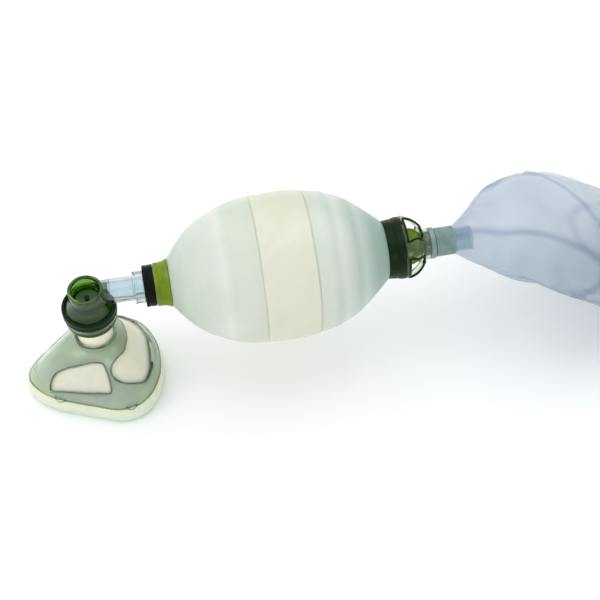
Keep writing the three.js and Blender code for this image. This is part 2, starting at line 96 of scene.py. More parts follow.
def through(pairs, level_ends=False):
    """A smooth function through (position, value) pairs."""
    xs = np.array([p[0] for p in pairs], float)
    ys = np.array([p[1] for p in pairs], float)
    secants = np.diff(ys) / np.diff(xs)
    ends = (0.0, 0.0) if level_ends else (secants[0], secants[-1])
    slopes = np.concatenate(([ends[0]], (secants[:-1] + secants[1:]) / 2, [ends[1]]))

    def value(x):
        x = np.clip(np.asarray(x, float), xs[0], xs[-1])
        i = np.clip(np.searchsorted(xs, x, side="right") - 1, 0, len(xs) - 2)
        width = xs[i + 1] - xs[i]
        t = (x - xs[i]) / width
        rise = ys[i + 1] - ys[i]
        bend = 3 * rise - width * (2 * slopes[i] + slopes[i + 1])
        twist = width * (slopes[i] + slopes[i + 1]) - 2 * rise
        return ys[i] + t * width * slopes[i] + t * t * bend + t * t * t * twist

    return value


def eased(profile, radius, steps=3):
    """The closed profile with each corner off the axis rounded by up to radius."""
    result = []
    for i, corner in enumerate(profile):
        here = Vector(corner)
        before = Vector(profile[i - 1]) - here
        after = Vector(profile[(i + 1) % len(profile)]) - here
        reach = min(radius, before.length * 0.45, after.length * 0.45)
        if corner[0] == 0 or reach < 1e-3 or before.angle(after) > math.radians(172):
            result.append(corner)
            continue
        a = here + before.normalized() * reach
        b = here + after.normalized() * reach
        for t in spread(0, 1, steps + 1):
            point = a * (1 - t) ** 2 + here * 2 * t * (1 - t) + b * t * t
            result.append((point.x, point.y))
    return result


def inset(outline, wall):
    """The outline moved inward by the wall's thickness; the outline runs up the outside."""
    points = np.array(outline, float)
    run = np.gradient(points, axis=0)
    run /= np.linalg.norm(run, axis=1)[:, None]
    return [(x - wall * b, y + wall * a) for (x, y), (a, b) in zip(points, run)]


# ---- Mesh helpers -------------------------------------------------------------------------
def new_object(name, verts, faces, origin):
    """A mesh object from local millimetres, with its faces pointing out."""
    mesh = bpy.data.meshes.new(name)
    mesh.from_pydata([tuple(Vector(v) * MM + origin) for v in verts], [], faces)
    obj = bpy.data.objects.new(name, mesh)
    bpy.context.scene.collection.objects.link(obj)
    tidy_mesh(obj)
    return obj


def tidy_mesh(obj, merge=1e-6):
    work = bmesh.new()
    work.from_mesh(obj.data)
    bmesh.ops.remove_doubles(work, verts=work.verts, dist=merge)
    bmesh.ops.recalc_face_normals(work, faces=work.faces)
    work.to_mesh(obj.data)
    work.free()


def shade(obj, degrees=CREASE):
    """Smooth shading, with the edges sharper than the angle kept crisp."""
    work = bmesh.new()
    work.from_mesh(obj.data)
    for edge in work.edges:
        edge.smooth = not edge.is_manifold or edge.calc_face_angle(0) < math.radians(degrees)
    for face in work.faces:
        face.smooth = True
    work.to_mesh(obj.data)
    work.free()
    return obj


def apply_modifiers(obj):
    graph = bpy.context.evaluated_depsgraph_get()
    mesh = bpy.data.meshes.new_from_object(obj.evaluated_get(graph))
    obj.modifiers.clear()
    obj.data = mesh
    return obj


def skin(rings, closed=True):
    """Vertices and faces of a surface through rings of points; a ring of one is a pole."""
    verts = []
    starts = []
    for ring in rings:
        starts.append(len(verts))
        verts.extend(ring)
    faces = []
    for i in range(len(rings) if closed else len(rings) - 1):
        j = (i + 1) % len(rings)
        a, b = len(rings[i]), len(rings[j])
        sides = max(a, b)
        for k in range(sides if sides > 1 else 0):
            n = (k + 1) % sides
            lower = [starts[i]] if a == 1 else [starts[i] + k, starts[i] + n]
            upper = [starts[j]] if b == 1 else [starts[j] + n, starts[j] + k]
            faces.append((*lower, *upper))
    return verts, faces


def circle(sides, radius=1.0):
    turns = (2 * math.pi * k / sides for k in range(sides))
    return [(radius * math.cos(a), radius * math.sin(a)) for a in turns]


def ring_at(position, radius, along="z", at=(0.0, 0.0), sides=SIDES):
    """A circle about an axis along z or x; one point where its radius is zero."""
    flat = circle(sides, radius) if radius else [(0.0, 0.0)]
    moved = [(u + at[0], v + at[1]) for u, v in flat]
    return [(u, v, position) if along == "z" else (position, u, v) for u, v in moved]


def turned(name, profile, origin, along="z", corner=0.4, sides=SIDES):
    """A closed profile of (radius, position) turned about an axis along z or x."""
    outline = eased(profile, corner) if corner else profile
    rings = [ring_at(position, radius, along, sides=sides) for radius, position in outline]
    return shade(new_object(name, *skin(rings), origin))


def rod(radius, start, end, origin, along="z", at=(0.0, 0.0), sides=48):
    """A plain cylinder to cut with; at is its axis off the origin."""
    outline = ((start, 0), (start, radius), (end, radius), (end, 0))
    rings = [ring_at(position, r, along, at, sides) for position, r in outline]
    return new_object("rod", *skin(rings, closed=False), origin)


def bead(name, points, radius, origin, closed=True, sides=10):
    """A thin round bead along a path of local points."""
    path = [Vector(p) for p in points]
    rings = []
    for i, point in enumerate(path):
        last = len(path) - 1
        ahead = path[(i + 1) % len(path)] if closed or i < last else point
        behind = path[i - 1] if closed or i > 0 else point
        run = (ahead - behind).normalized()
        side = run.cross(Vector((0.03, 0.02, 1))).normalized()
        up = side.cross(run)
        rings.append([point + side * u + up * v for u, v in circle(sides, radius)])
    if not closed:
        rings = [[path[0]], *rings, [path[-1]]]
    return shade(new_object(name, *skin(rings, closed), origin), 60)


def smooth_loop(points, steps=14):
    """A closed curve through a few points in plan."""
    result = []
    count = len(points)
    for i in range(count):
        p0, p1, p2, p3 = (Vector(points[(i + k) % count]) for k in (-1, 0, 1, 2))
        for t in spread(0, 1, steps + 1)[:-1]:
            bend = 2 * p0 - 5 * p1 + 4 * p2 - p3
            twist = 3 * p1 - p0 - 3 * p2 + p3
            result.append((2 * p1 + (p2 - p0) * t + bend * t * t + twist * t ** 3) / 2)
    return result


def joined(name, *objects):
    """One object from several closed shells."""
    work = bmesh.new()
    for obj in objects:
        work.from_mesh(obj.data)
    work.to_mesh(objects[0].data)
    work.free()
    for obj in objects[1:]:
        bpy.data.objects.remove(obj)
    objects[0].name = name
    return objects[0]


def combined(obj, others, operation="DIFFERENCE", degrees=CREASE):
    """The object with other solids cut away from it, or added to it."""
    for other in others:
        step = obj.modifiers.new("step", "BOOLEAN")
        step.operation = operation
        step.solver = "EXACT"
        step.object = other
        other.hide_render = True
    apply_modifiers(obj)
    for other in others:
        bpy.data.objects.remove(other)
    tidy_mesh(obj)
    return shade(obj, degrees)


# ---- Materials ----------------------------------------------------------------------------
def linear(red, green, blue):
    """A colour from its everyday 0 to 255 values."""
    def channel(value):
        value /= 255
        return value / 12.92 if value <= 0.04045 else ((value + 0.055) / 1.055) ** 2.4
    return (channel(red), channel(green), channel(blue), 1.0)


class Surface:
    """A Principled material whose colour, roughness and relief come from nodes."""

    def __init__(self, name, **sockets):
        self.material = bpy.data.materials.new(name)
        self.material.use_nodes = True
        self.tree = self.material.node_tree
        self.shader = self.tree.nodes["Principled BSDF"]
        self.place = self.add("ShaderNodeTexCoord").outputs["Object"]
        for socket, value in sockets.items():
            self.shader.inputs[socket.replace("_", " ")].default_value = value

    def add(self, kind, **values):
        node = self.tree.nodes.new(kind)
        for key, value in values.items():
            setattr(node, key, value)
        return node

    def link(self, source, target):
        self.tree.links.new(source, target)

    def noise(self, scale, detail=3.0, stretch=(1, 1, 1), distortion=0.0):
        """Noise in the object's own space; scale is in features per metre."""
        mapping = self.add("ShaderNodeMapping")
        mapping.inputs["Scale"].default_value = stretch
        texture = self.add("ShaderNodeTexNoise")
        texture.inputs["Scale"].default_value = scale
        texture.inputs["Detail"].default_value = detail
        texture.inputs["Distortion"].default_value = distortion
        self.link(self.place, mapping.inputs["Vector"])
        self.link(mapping.outputs["Vector"], texture.inputs["Vector"])
        return texture.outputs["Fac"]

    def ramp(self, source, stops):
        """A colour from a share, by (share, colour) stops."""
        node = self.add("ShaderNodeValToRGB")
        elements = node.color_ramp.elements
        while len(elements) < len(stops):
            elements.new(0.5)
        for element, (share, colour) in zip(elements, stops):
            element.position = share
            element.color = colour
        self.link(source, node.inputs["Fac"])
        return node.outputs["Color"]

    def rescale(self, source, old, new):
        node = self.add("ShaderNodeMapRange")
        for socket, value in zip(("From Min", "From Max", "To Min", "To Max"), (*old, *new)):
            node.inputs[socket].default_value = value
        self.link(source, node.inputs["Value"])
        return node.outputs["Result"]

    def along_x(self, start, end):
        """The share of the way from start to end along X, in metres."""
        parts = self.add("ShaderNodeSeparateXYZ")
        self.link(self.place, parts.inputs["Vector"])
        return self.rescale(parts.outputs["X"], (start, end), (0, 1))

    def blended(self, share, a, b, blend_type="MIX"):
        node = self.add("ShaderNodeMix", data_type="RGBA", blend_type=blend_type)
        if isinstance(share, float):
            node.inputs["Factor"].default_value = share
        else:
            self.link(share, node.inputs["Factor"])
        self.link(a, node.inputs["A"])
        self.link(b, node.inputs["B"])
        return node.outputs["Result"]

    def colour(self, source):
        self.link(source, self.shader.inputs["Base Color"])

    def roughness(self, scale, low, high, stretch=(1, 1, 1)):
        cloud = self.noise(scale, stretch=stretch)
        self.link(self.rescale(cloud, (0.3, 0.7), (low, high)), self.shader.inputs["Roughness"])

    def relief(self, scale, depth, strength=0.5, stretch=(1, 1, 1)):
        """Fine bumps of a depth in metres."""
        node = self.add("ShaderNodeBump")
        node.inputs["Strength"].default_value = strength
        node.inputs["Distance"].default_value = depth
        self.link(self.noise(scale, stretch=stretch), node.inputs["Height"])
        self.link(node.outputs["Normal"], self.shader.inputs["Normal"])


def moulded(name, light, dark, rough, relief=0.00006, clouds=90, **sockets):
    """Moulded plastic or rubber: cloudy colour, uneven gloss and a faint skin."""
    surface = Surface(name, **sockets)
    cloud = surface.noise(clouds, detail=4.0, distortion=0.4)
    surface.colour(surface.ramp(cloud, [(0.32, linear(*dark)), (0.68, linear(*light))]))
    surface.roughness(260, *rough)
    surface.relief(700, relief)
    return surface.material


BAG_LENGTH = 0.194              # metres
BAG_TINTS_AND_SHADE = [                   # distances from the front shoulder, and the wall's colour there with painted shade and painted light
    (0, (186, 204, 190)), (14, (204, 217, 202)), (38, (224, 231, 216)), (46, (234, 238, 224)),
    (53, (220, 229, 212)), (70, (222, 229, 210)), (76.6, (221, 227, 207)), (78, (206, 212, 190)),
    (79.4, (229, 230, 210)), (100, (226, 227, 204)), (123.6, (222, 226, 204)),
    (125, (198, 206, 186)), (126.4, (217, 225, 207)), (135, (218, 227, 212)),
    (142, (202, 214, 202)), (149, (222, 231, 220)), (162, (184, 200, 190)),
    (168, (198, 212, 204)), (180, (158, 181, 170)), (190, (150, 174, 164)),
]


def silicone_bag():
    """Milky silicone, cream over the middle band, with painted shade: darker at the neck, in the
    moulded lines and by the soft rings, and bluish towards the intake end; painted light on the
    swells.
    """
    surface = Surface(
        "milky_silicone", Subsurface_Weight=0.75, Subsurface_Scale=0.012,
        Subsurface_Radius=(1.0, 1.0, 0.85), IOR=1.41, Coat_Weight=0.08, Coat_Roughness=0.3,
    )
    along = surface.along_x(SHOULDER.x, SHOULDER.x + BAG_LENGTH)
    # this ramp paints shade and light along the bag over the wall's own colour
    base = surface.ramp(along, [(at * MM / BAG_LENGTH, linear(*tint)) for at, tint in BAG_TINTS_AND_SHADE])
    cloud = surface.noise(16, detail=3.0, distortion=0.6)
    tint = surface.ramp(cloud, [(0.35, linear(238, 243, 238)), (0.65, linear(255, 253, 250))])
    surface.colour(surface.blended(1.0, base, tint, "MULTIPLY"))
    surface.roughness(120, 0.34, 0.46)
    surface.relief(900, 0.00005, 0.35)
    return surface.material


def mask_silicone():
    """Soft clear-white silicone, cream on the dome and paler on the cushion."""
    surface = Surface(
        "cream_silicone", Subsurface_Weight=0.8, Subsurface_Scale=0.01,
        Subsurface_Radius=(1.0, 0.85, 0.65), IOR=1.41,
    )
    parts = surface.add("ShaderNodeSeparateXYZ")
    surface.link(surface.place, parts.inputs["Vector"])
    height = surface.rescale(parts.outputs["Z"], (0.006, 0.026), (0, 1))
    base = surface.ramp(height, [(0.0, linear(208, 224, 208)), (1.0, linear(252, 240, 206))])
    cloud = surface.noise(70, detail=4.0, distortion=0.4)
    tint = surface.ramp(cloud, [(0.35, linear(246, 246, 243)), (0.65, linear(255, 255, 255))])
    surface.colour(surface.blended(1.0, base, tint, "MULTIPLY"))
    surface.roughness(200, 0.36, 0.48)
    surface.relief(800, 0.00005, 0.4)
    return surface.material


def clear(name, light, dark, rough=(0.02, 0.07), **sockets):
    """Clear moulded plastic, tinted by its wall."""
    return moulded(
        name, light, dark, rough, relief=0.00002, clouds=30,
        Transmission_Weight=1.0, IOR=1.49, **sockets,
    )


def film():
    """Thin clear film with a lavender tint, painted shade and glint lines along long creases,
    and a fine crinkle.
    """
    surface = Surface("clear_film", Transmission_Weight=0.9, IOR=1.2)
    cloud = surface.noise(22, detail=3.0, distortion=0.8)
    base = surface.ramp(cloud, [
        (0.30, linear(226, 232, 237)), (0.70, linear(237, 241, 245)),
    ])
    # painted shade and painted highlight: each crease is a thin dark line with a white glint
    # beside it
    crease = surface.noise(4, detail=0.5, stretch=(0.3, 1.2, 1.0), distortion=0.1)
    shadow, glint, plain = linear(214, 221, 232), linear(255, 255, 255), linear(248, 250, 252)
    crease_shade_lines = surface.ramp(crease, [
        (0.40, plain), (0.413, shadow), (0.422, glint), (0.44, plain), (0.50, plain),
        (0.508, shadow), (0.514, glint), (0.53, plain), (0.60, plain), (0.610, shadow),
        (0.620, glint), (0.64, plain),
    ])
    surface.colour(surface.blended(1.0, base, crease_shade_lines, "MULTIPLY"))
    surface.roughness(60, 0.10, 0.22)
    surface.relief(40, 0.0006, 0.35, (1.0, 2.2, 1.0))
    return surface.material


def floor_finish():
    surface = Surface("pale_floor")
    cloud = surface.noise(6, detail=2.0)
    surface.colour(surface.ramp(cloud, [
        (0.3, linear(250, 250, 250)), (0.7, linear(253, 253, 253)),
    ]))
    surface.roughness(20, 0.75, 0.85)
    return surface.material


FINISH = {
    "milky_silicone": silicone_bag(),
    "cream_silicone": mask_silicone(),
    "valve_silicone": moulded(
        "valve_silicone", (198, 210, 190), (184, 198, 176), (0.4, 0.55),
        Subsurface_Weight=0.5, Subsurface_Scale=0.003, IOR=1.41,
    ),
    "smoked_green_plastic": clear("smoked_green_plastic", (122, 178, 64), (104, 160, 52)),
    "dark_green_plastic": moulded(
        "dark_green_plastic", (12, 38, 10), (6, 25, 6), (0.28, 0.4), Specular_IOR_Level=0.12,
    ),
    "clear_green_plastic": clear("clear_green_plastic", (214, 230, 200), (200, 218, 184)),
    "pale_green_plastic": clear("pale_green_plastic", (104, 154, 84), (88, 138, 70)),
    "clear_blue_plastic": clear("clear_blue_plastic", (214, 227, 232), (202, 217, 223)),
    "clear_grey_plastic": clear("clear_grey_plastic", (242, 253, 249), (235, 249, 243)),
    # a darker copy of the clear cover plastic: painted shade for the dark outlines along the
    # cover's rim, windows and ring
    "edge_shade_plastic": clear("edge_shade_plastic", (176, 192, 178), (160, 178, 163)),
    "lime_green_plastic": moulded(
        "lime_green_plastic", (118, 142, 6), (92, 116, 2), (0.35, 0.5), Specular_IOR_Level=0.25,
        Subsurface_Weight=0.15, Subsurface_Scale=0.002,
    ),
    "near_black_plastic": moulded(
        "near_black_plastic", (6, 11, 7), (3, 6, 4), (0.3, 0.42), Specular_IOR_Level=0.1,
    ),
    "grey_green_plastic": moulded(
        "grey_green_plastic", (128, 152, 148), (104, 130, 126), (0.3, 0.45),
        Subsurface_Weight=0.1, Subsurface_Scale=0.002,
    ),
    "green_silicone": moulded("green_silicone", (66, 96, 60), (52, 80, 48), (0.4, 0.55)),
    "black_rubber": moulded("black_rubber", (34, 35, 36), (22, 23, 24), (0.5, 0.65)),
    "clear_film": film(),
}


NODE_FINISH = {"exhalation_disc": "green_silicone"}     # a carried-over node in another shade


def place(piece, slot, body, *nodes):
    """Gives a piece its finish and body, and hides the CAD nodes that it stands for."""
    piece.data.materials.clear()
    piece.data.materials.append(FINISH[slot])
    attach(piece, body)
    if nodes:
        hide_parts(*nodes)
    return piece


# ---- Camera, floor and light --------------------------------------------------------------
def upright_view(azimuth, elevation):
    """Right and up across the view, and the way back from it to the camera."""
    a, e = math.radians(azimuth), math.radians(elevation)
    back = Vector((math.sin(a) * math.cos(e), -math.cos(a) * math.cos(e), math.sin(e)))
    right = Vector((math.cos(a), math.sin(a), 0.0))
    return right, back.cross(right), back


def make_camera():
    azimuth, elevation, roll = -8.79, 54.32, math.radians(-1.58)
    distance = 1.221
    aim = Vector((-0.1021, 0.0, 0.0675))
    right, up, back = upright_view(azimuth, elevation)
    across = right * math.cos(roll) + up * math.sin(roll)
    upward = up * math.cos(roll) - right * math.sin(roll)
    data = bpy.data.cameras.new("camera")
    data.lens = 79.39
    data.sensor_width = 36.0
    camera = bpy.data.objects.new("camera", data)
    turn = Matrix((across, upward, back)).transposed().to_4x4()
    camera.matrix_world = Matrix.Translation(aim + back * distance) @ turn
    bpy.context.scene.collection.objects.link(camera)
    bpy.context.scene.camera = camera


def make_light(name, position, aim, size, power):
    data = bpy.data.lights.new(name, "AREA")
    data.shape = "RECTANGLE"
    data.size, data.size_y = size
    data.energy = power
    light = bpy.data.objects.new(name, data)
    light.location = position
    light.rotation_euler = (Vector(aim) - Vector(position)).to_track_quat("-Z", "Y").to_euler()
    bpy.context.scene.collection.objects.link(light)


def make_stage():
    half = 6000                 # a floor 12 m across, just under the table's height
    corners = [(-half, -half, 0), (half, -half, 0), (half, half, 0), (-half, half, 0)]
    floor = new_object("floor", corners, [(0, 1, 2, 3)], Vector((0, 0, -0.0004)))
    floor.data.materials.append(floor_finish())
    make_light("overhead", (0.1, 0.5, 1.9), (0, 0, 0), (3.0, 2.2), 20)
    make_light("left_window", (-1.7, -0.5, 1.1), (-0.1, 0, 0.08), (0.9, 1.4), 7)
    make_light("front_card", (0.5, -1.9, 0.9), (0, 0, 0.1), (1.6, 0.5), 4)
    world = bpy.data.worlds.new("studio")
    world.use_nodes = True
    background = world.node_tree.nodes["Background"]
    background.inputs["Color"].default_value = (0.97, 0.985, 1.0, 1.0)
    background.inputs["Strength"].default_value = 0.8
    scene = bpy.context.scene
    scene.world = world
    scene.view_settings.view_transform = "Standard"
    scene.view_settings.exposure = 0.0


# ---- Face mask ----------------------------------------------------------------------------
MASK_OUTLINE = [
    (0, 55), (25, 56.5), (52, 59), (64, 58), (77, 54.5), (103, 46.5), (131, 48.8), (152, 58.5),
    (164, 65.5), (175, 71.5), (180, 72.3),
]
MASK_CORE = 20                  # inside this radius the mask is round
MASK_RIM = 55                   # this radius is stretched to the outline
DOME_START, DOME_END = 20, 51
DOME_LOW, DOME_HIGH, DOME_BEND = 20, 68, 1.35
DOME_WALL = 4
COVER_UNDER, COVER_OVER = 0.9, 3.6      # the cover's faces, over the dome's outside
EDGE_LIFT = 3.3                 # the beads round the windows, over the dome's outside
MASK_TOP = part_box("mask_body")[1].z / MM
COVER_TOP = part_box("mask_cover")[1].z / MM
rim_distance = through(MASK_OUTLINE, level_ends=True)


def dome(radius, lift):
    share = (radius - DOME_START) / (DOME_END - DOME_START)
    return (radius, DOME_LOW + (DOME_HIGH - DOME_LOW) * (1 - share ** DOME_BEND) + lift)


def stretch_towards(x, y):
    """How far the mask spreads in this direction, as a share of the round shape's spread."""
    angle = abs(math.degrees(math.atan2(y, x)))
    return (float(rim_distance(angle)) - MASK_CORE) / (MASK_RIM - MASK_CORE)


def stretched(point):
    """A point of a round shape, moved outside the core to the mask's rounded triangle."""
    x, y, z = point
    radius = math.hypot(x, y)
    if radius <= MASK_CORE:
        return point
    scale = (MASK_CORE + (radius - MASK_CORE) * stretch_towards(x, y)) / radius
    return (x * scale, y * scale, z)


def mask_shape(name, profile, corner=0.5, degrees=CREASE):
    rings = []
    for radius, z in eased(profile, corner):
        rings.append([stretched((u, v, z)) for u, v in circle(MASK_SIDES, radius)])
    return shade(new_object(name, *skin(rings), TABLE), degrees)


def make_mask_body():
    """Cream silicone: a rolled cushion under a dome that narrows into the mask's neck."""
    cushion = [
        (44, 0.3), (47, 0), (50.5, 0.2), (53.2, 1.6), (54.7, 4), (55.2, 7), (55.1, 10),
        (54.5, 13), (53.4, 16), (52.2, 18.4),
    ]
    outer = [dome(radius, 0) for radius in spread(50.6, DOME_START, 16)]
    inner = [dome(radius, -DOME_WALL) for radius in spread(DOME_START, 46, 12)]
    return mask_shape("mask_shell", [
        *cushion, *outer, (16.6, DOME_HIGH + 1.9), (15.8, DOME_HIGH + 3.4), (15.8, MASK_TOP),
        (11.6, MASK_TOP), (11.6, DOME_HIGH), *inner, (46, 17), (46, 13), (45.3, 9), (44, 5),
        (43, 2.6), (43, 1.2),
    ], 0.6, 60)


SIDE_WINDOW = [
    (-50, 20), (-44, 16), (-34, 17.5), (-17, 22.4), (-2, 25.5), (4, 29), (5.5, 41.5), (-8, 38.5),
    (-22, 34), (-46, 24.5),
]
CHIN_WINDOW_HALF = [
    (26.5, 0), (26, 6.5), (22.5, 16.5), (15, 23.7), (9.5, 29.5), (9.6, 34.6), (16.6, 37.6),
    (25, 37.2), (34.3, 33.8), (39.6, 27.2), (43.4, 16), (44.4, 0),
]


def mirrored(points):
    """The same points on the other side of the middle line, in the opposite order."""
    return [(x, -y) for x, y in reversed(points)]


CHIN_WINDOW = [*mirrored(CHIN_WINDOW_HALF[1:-1]), *CHIN_WINDOW_HALF]
MASK_WINDOWS = [SIDE_WINDOW, mirrored(SIDE_WINDOW), CHIN_WINDOW]
WINDOW_CUT_START = 8            # the windows are cut from this height to the mask's top
COVER_RIM_RADIUS = 53
CLIP_ANGLES = (66, -66, 146, -146)
HOOK_RADIUS, HOOK_HEIGHT = 5.2, 22.2


def cover_height(x, y, lift):
    """Height of the cover over a point in plan."""
    radius = MASK_CORE + (math.hypot(x, y) - MASK_CORE) / stretch_towards(x, y)
    return dome(min(max(radius, DOME_START), DOME_END - 1), lift)[1]


def plan_prism(points):
    """An upright block to cut a window with."""
    loop = smooth_loop(points)
    bottom, top = ([(p.x, p.y, z) for p in loop] for z in (WINDOW_CUT_START, MASK_TOP))
    ends = [[loop_centre(loop, z)] for z in (WINDOW_CUT_START, MASK_TOP)]
    return new_object("window", *skin([ends[0], bottom, top, ends[1]], closed=False), TABLE)


def loop_centre(loop, z):
    total = sum(loop, Vector((0, 0))) / len(loop)
    return (total.x, total.y, z)


def make_mask_cover():
    """Stiff clear cover: a ring, three spokes, a rim and four clips."""
    outer = [dome(radius, COVER_OVER) for radius in spread(DOME_END - 2, DOME_START, 14)]
    inner = [dome(radius, COVER_UNDER) for radius in spread(DOME_START, DOME_END - 0.5, 12)]
    shell = mask_shape("mask_cover_shell", [
        (COVER_RIM_RADIUS, 20.2), (COVER_RIM_RADIUS, 21.8), *outer,
        (19.2, DOME_HIGH + 5), (19.2, COVER_TOP), (16.2, COVER_TOP), (16.2, DOME_HIGH + 3.4),
        *inner,
    ], 0.5)
    combined(shell, [plan_prism(points) for points in MASK_WINDOWS])
    return joined("mask_cover_shell", shell, *[make_clip(degrees) for degrees in CLIP_ANGLES])


def make_cover_edges():
    """Beads round the cover's rim, its windows and its ring."""
    beads = []
    for points in MASK_WINDOWS:
        loop = smooth_loop(points)
        edge = [(p.x, p.y, cover_height(p.x, p.y, EDGE_LIFT)) for p in loop]
        beads.append(bead("edge", edge, 0.8, TABLE))
    rim = [stretched((u, v, 21.6)) for u, v in circle(MASK_SIDES, COVER_RIM_RADIUS - 0.3)]
    beads.append(bead("rim", rim, 0.9, TABLE))
    top = [(u, v, COVER_TOP - 0.6) for u, v in circle(SIDES, 17.7)]
    beads.append(bead("top", top, 1.1, TABLE))
    return joined("mask_cover_edges", *beads)


def make_clip(degrees):
    """A hook on the rim that a head strap's ring goes round."""
    angle = math.radians(degrees)
    reach = float(rim_distance(abs(degrees))) * 0.9
    at = Vector((math.cos(angle), math.sin(angle))) * reach
    outline = [
        (0, 20.1), (HOOK_RADIUS, 20.1), (5.5, 20.5), (5.5, 21.7), (HOOK_RADIUS, 22.1), (0, 22.1),
    ]
    rings = [ring_at(z, radius, at=at, sides=40) for radius, z in outline]
    tab = new_object("tab", *skin(rings, closed=False), TABLE)
    turns = [angle + math.radians(t) for t in spread(-80, 80, 18)]
    hook = [
        (at.x + HOOK_RADIUS * math.cos(t), at.y + HOOK_RADIUS * math.sin(t), HOOK_HEIGHT)
        for t in turns
    ]
    return joined("clip", shade(tab), bead("hook", hook, 0.8, TABLE, closed=False))


# ---- Patient valve ------------------------------------------------------------------------
CHAMBER_RADIUS, CHAMBER_BORE = 21, 18.5
HOUSING_FLARE = [(CHAMBER_RADIUS, -23.5), (20.3, -22.4), (18.6, -19.5), (16.7, -15), (15.5, -10)]
PASSAGE_START = 13.4            # the way in from the inlet tube opens from here
TUBE_BORE = 9.3
TUBE_BORE_END = 20.3
SPIGOT_END = 19


def behind_rod(radius, start, end, drop=None, offset=None):
    """A cylinder along X behind the valve's axis, seen from the top of the port."""
    at = (VALVE_OFFSET if offset is None else offset, -PORT_RISE if drop is None else -drop)
    return rod(radius, start, end, PORT, "x", at)


def make_upper_housing():
    cavity = [
        (CHAMBER_BORE, -24.5), (10.6, -21), (10.6, -18.6), (12.3, -18.6), (12.3, -2.2),
        (12.6, -0.8), (13.3, 0),
    ]
    shell = turned("valve_top", [
        (CHAMBER_BORE, -34), (CHAMBER_RADIUS, -34), *HOUSING_FLARE, (15.2, -2.4), (15.5, -1.8),
        (15.5, -0.7), (14.9, 0), *reversed(cavity),
    ], PORT, corner=0.45)
    spigot = behind_rod(TUBE_BORE - 0.3, 10, SPIGOT_END)
    hollow = turned("hollow", [
        (0, -35), (CHAMBER_BORE, -35), *cavity, (13.3, 1), (0, 1),
    ], PORT, corner=0)
    combined(spigot, [hollow])
    combined(shell, [spigot], "UNION")
    passage = behind_rod(7.2, PASSAGE_START, SPIGOT_END + 1)
    throat = behind_rod(4.5, PASSAGE_START, 17, drop=24.5, offset=5)
    return combined(shell, [passage, throat])


def make_lower_housing():
    return turned("valve_bottom", [
        (10.8, -66), (11.2, -45.2), (12.5, -44.6), (19.5, -44.4), (21.8, -43.2), (23, -41),
        (23, -38.4), (22.5, -37.9), (22.5, -37.3), (23, -36.8), (23, -32.6), (21.4, -32.6),
        (21.4, -35.9), (19, -35.9), (19, -41.6), (8, -43), (7.6, -44.5), (7.6, -66),
    ], PORT)


def make_lock_ring():
    """Ring that clamps the housings, with a shallow groove and a notch for the inlet tube."""
    ring = turned("valve_ring", [
        (21.4, -32.2), (23.6, -32.2), (24.2, -31.4), (24.2, -29.3), (23.7, -28.9),
        (23.7, -28.3), (24.2, -27.9), (24.2, -24), (23.4, -23), (21.4, -23),
    ], PORT)
    return combined(ring, [behind_rod(11 + GAP, 5, 40)])


def make_inlet_tube():
    tube = turned("inlet_elbow_tube", [
        (11, 9), (11, 41.2), (14.6, 41.2), (14.6, 42.8), (14.2, 43.1), (14.2, 49.9), (9.6, 49.9),
        (9.6, 56), (8.3, 56), (8.3, 58.4), (9.6, 58.4), (9.6, 66), (8, 66), (8, TUBE_BORE_END),
        (TUBE_BORE, TUBE_BORE_END), (TUBE_BORE, 9),
    ], INLET, "x", corner=0.3)
    housing = turned("saddle", [
        (0, -36), (CHAMBER_RADIUS + GAP, -36),
        *[(radius + GAP, height) for radius, height in HOUSING_FLARE], (15.9, 2), (0, 2),
    ], PORT, corner=0)
    return combined(tube, [housing])


def make_grille():
    plate = turned("port_grille", [
        (0, -18.2), (12, -18.2), (12, -16.5), (1.4, -16.5), (1.4, -12.4), (2.4, -12.4),
        (2.4, -11.6), (0, -11.6),
    ], PORT, corner=0.25, sides=64)
    holes = []
    for degrees in range(0, 360, 60):
        angle = math.radians(degrees)
        at = (7.4 * math.cos(angle), 7.4 * math.sin(angle))
        holes.append(rod(2.6, -19, -16, PORT, "z", at, 24))
    return combined(plate, holes)


# ---- Squeeze bag and its front neck -------------------------------------------------------
BAG_WALL = 2.6
BAG_OUTLINE = [
    (0.4, 22), (10.6, 34.8), (24, 47), (42, 56.5), (62, 63.3), (93, 65.5),
    (129, 63), (150, 57), (165, 49), (178, 39), (187, 31), (191.5, 27),
]
BAG_LINES = [78, 125]           # moulded lines either side of the middle band
BAG_SWELLS = [(46, 7, 0.35), (141, 5, 0.5), (163, 6, 0.5), (104, 16, 0.25)]
BAG_BAND_RISE = 0.5


def bag_radius(position):
    radius = through(BAG_OUTLINE)(position)
    for centre, width, height in BAG_SWELLS:
        radius = radius + height * math.exp(-((position - centre) / width) ** 2)
    band = smoothstep(position, BAG_LINES[0] - 0.8, BAG_LINES[0] + 0.4)
    band = band * (1 - smoothstep(position, BAG_LINES[1] - 0.4, BAG_LINES[1] + 0.8))
    groove = sum(math.exp(-((position - line) / 0.7) ** 2) for line in BAG_LINES)
    return float(radius + BAG_BAND_RISE * band - 0.7 * groove)


def make_squeeze_bag():
    """One silicone shell: neck, shoulders, banded belly and rear neck."""
    start, end = BAG_OUTLINE[0][0], BAG_OUTLINE[-1][0]
    fine = [line + step for line in BAG_LINES for step in spread(-2.2, 2.2, 12)]
    coarse = [p for p in spread(start, end, 84) if min(abs(p - f) for f in fine) > 0.8]
    outer = [(bag_radius(p), p) for p in sorted(fine + coarse)]
    middle_line = spread(start + 4, end - 3, 40)
    inner = inset([(float(through(BAG_OUTLINE)(p)), p) for p in middle_line], BAG_WALL)
    return turned("silicone_bag", [
        (15.7, -10), (15.7, -1), (17.4, 0.1), *outer, (25.4, 192.6), (23.7, 193.8),
        (23.7, 203.5), (21.2, 203.5), (21.2, 190.4), *reversed(inner), (14.6, 3.2),
        (13.6, 0.4), (13.6, -10),
    ], SHOULDER, "x", corner=0, sides=BAG_SIDES)


